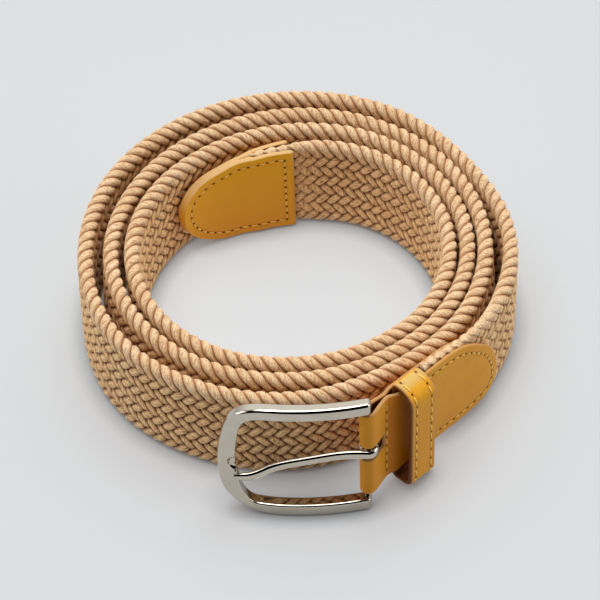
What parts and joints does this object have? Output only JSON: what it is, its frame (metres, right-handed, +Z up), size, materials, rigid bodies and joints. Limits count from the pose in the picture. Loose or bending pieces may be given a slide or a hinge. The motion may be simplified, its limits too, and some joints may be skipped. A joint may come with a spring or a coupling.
{
  "type": "elastic belt",
  "caption": "Braided elastic belt with leather ends, keeper loop and single-prong buckle, lying coiled on its edge.",
  "frame": {"origin": "on the floor, below the middle of the whole coiled belt", "axes": "+Z up, across the band's width; -Y towards the buckle's front; +X from the buckle's side bar to its hinge bar"},
  "size_m": [0.1317, 0.1393, 0.049],
  "materials": {
    "braided_cord": "light tan cords in a flat braid, matt",
    "tip_front_leather": "mustard leather, smooth with a soft shine, stitched edge",
    "tip_back_leather": "mustard leather, smooth with a soft shine",
    "buckle_strap_leather": "mustard leather, smooth with a soft shine, stitched edge",
    "keeper_leather": "mustard leather, smooth with a soft shine, stitched edges",
    "frame_metal": "polished nickel plate",
    "prong_metal": "polished nickel plate"
  },
  "bodies": {
    "strap": {"braided_band": "braided_cord", "tip_front_ply": "tip_front_leather", "tip_back_ply": "tip_back_leather", "buckle_strap": "buckle_strap_leather", "keeper_loop": "keeper_leather"},
    "frame": {"buckle_frame": "frame_metal"},
    "prong": {"buckle_prong": "prong_metal"}
  },
  "joints": [
    {"name": "frame_swing", "type": "hinge", "parent": "strap", "child": "frame", "pos_m": [0.0182, -0.066, 0.0245], "axis": [0, 0, 1], "range_deg": [0, 90]},
    {"name": "prong_swing", "type": "hinge", "parent": "frame", "child": "prong", "pos_m": [0.0182, -0.066, 0.0262], "axis": [0, 0, 1], "range_deg": [0, 85]}
  ]
}
